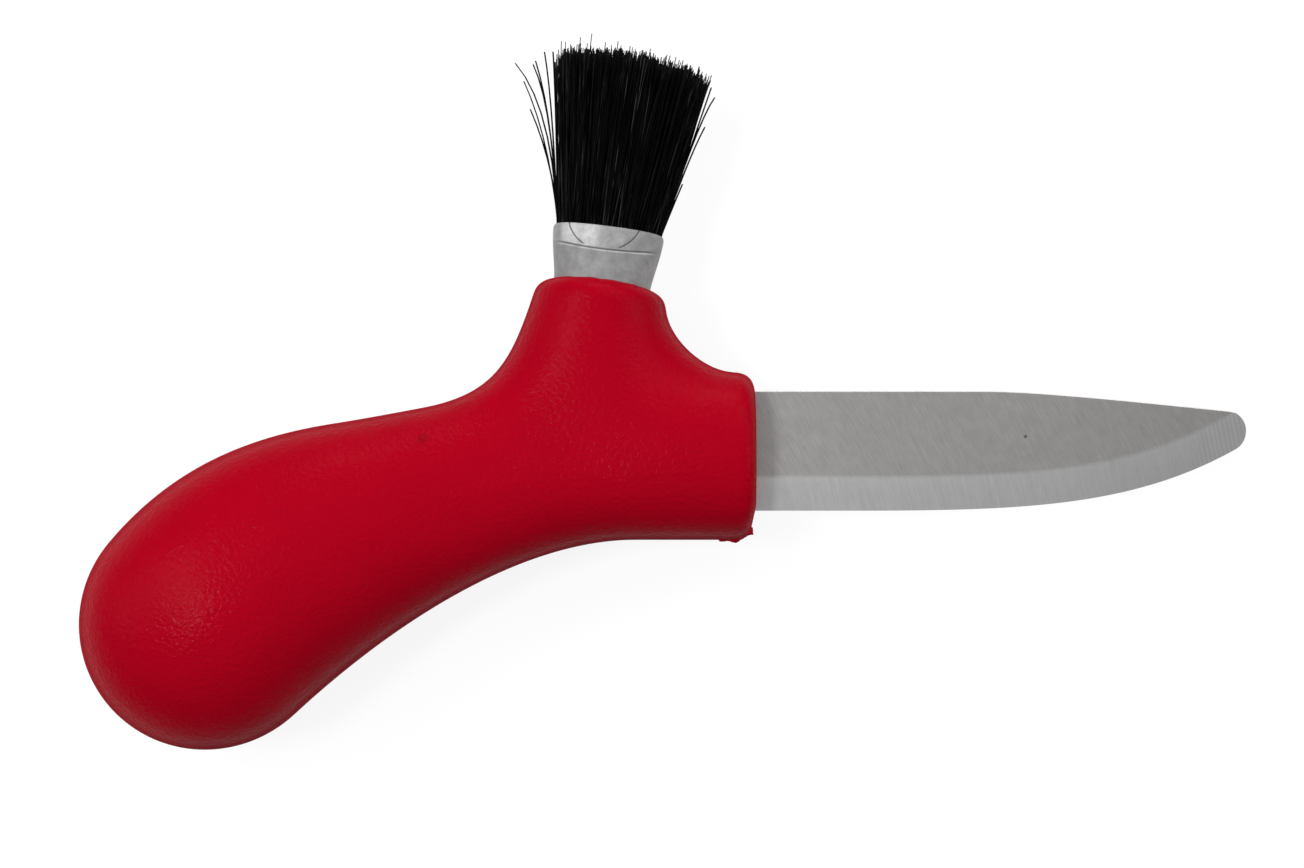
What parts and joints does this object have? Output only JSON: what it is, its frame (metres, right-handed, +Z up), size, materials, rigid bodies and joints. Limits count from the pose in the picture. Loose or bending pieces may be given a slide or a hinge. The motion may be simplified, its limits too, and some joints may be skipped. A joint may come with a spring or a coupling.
{
  "type": "mushroom knife",
  "caption": "Mushroom picking knife: short round-tipped blade moulded into a curved palm-grip handle, with a cleaning brush in a metal ferrule on a boss above the blade.",
  "frame": {"origin": "middle of the knife's outline, on the plane that the palm end of the handle lies on", "axes": "+X along the blade towards its tip, +Y from edge to spine and on to the brush, +Z up through the thickness as the knife lies on its side"},
  "size_m": [0.1704, 0.1036, 0.0321],
  "materials": {
    "handle_plastic": "moulded, fine satin grain",
    "blade_steel": "ground, satin",
    "ferrule_aluminium": "drawn, dull",
    "bristle_fibre": "natural fibre, dull black"
  },
  "bodies": {
    "root": {"handle": "handle_plastic", "blade": "blade_steel", "ferrule": "ferrule_aluminium", "bristle_tuft": "bristle_fibre"}
  },
  "joints": []
}
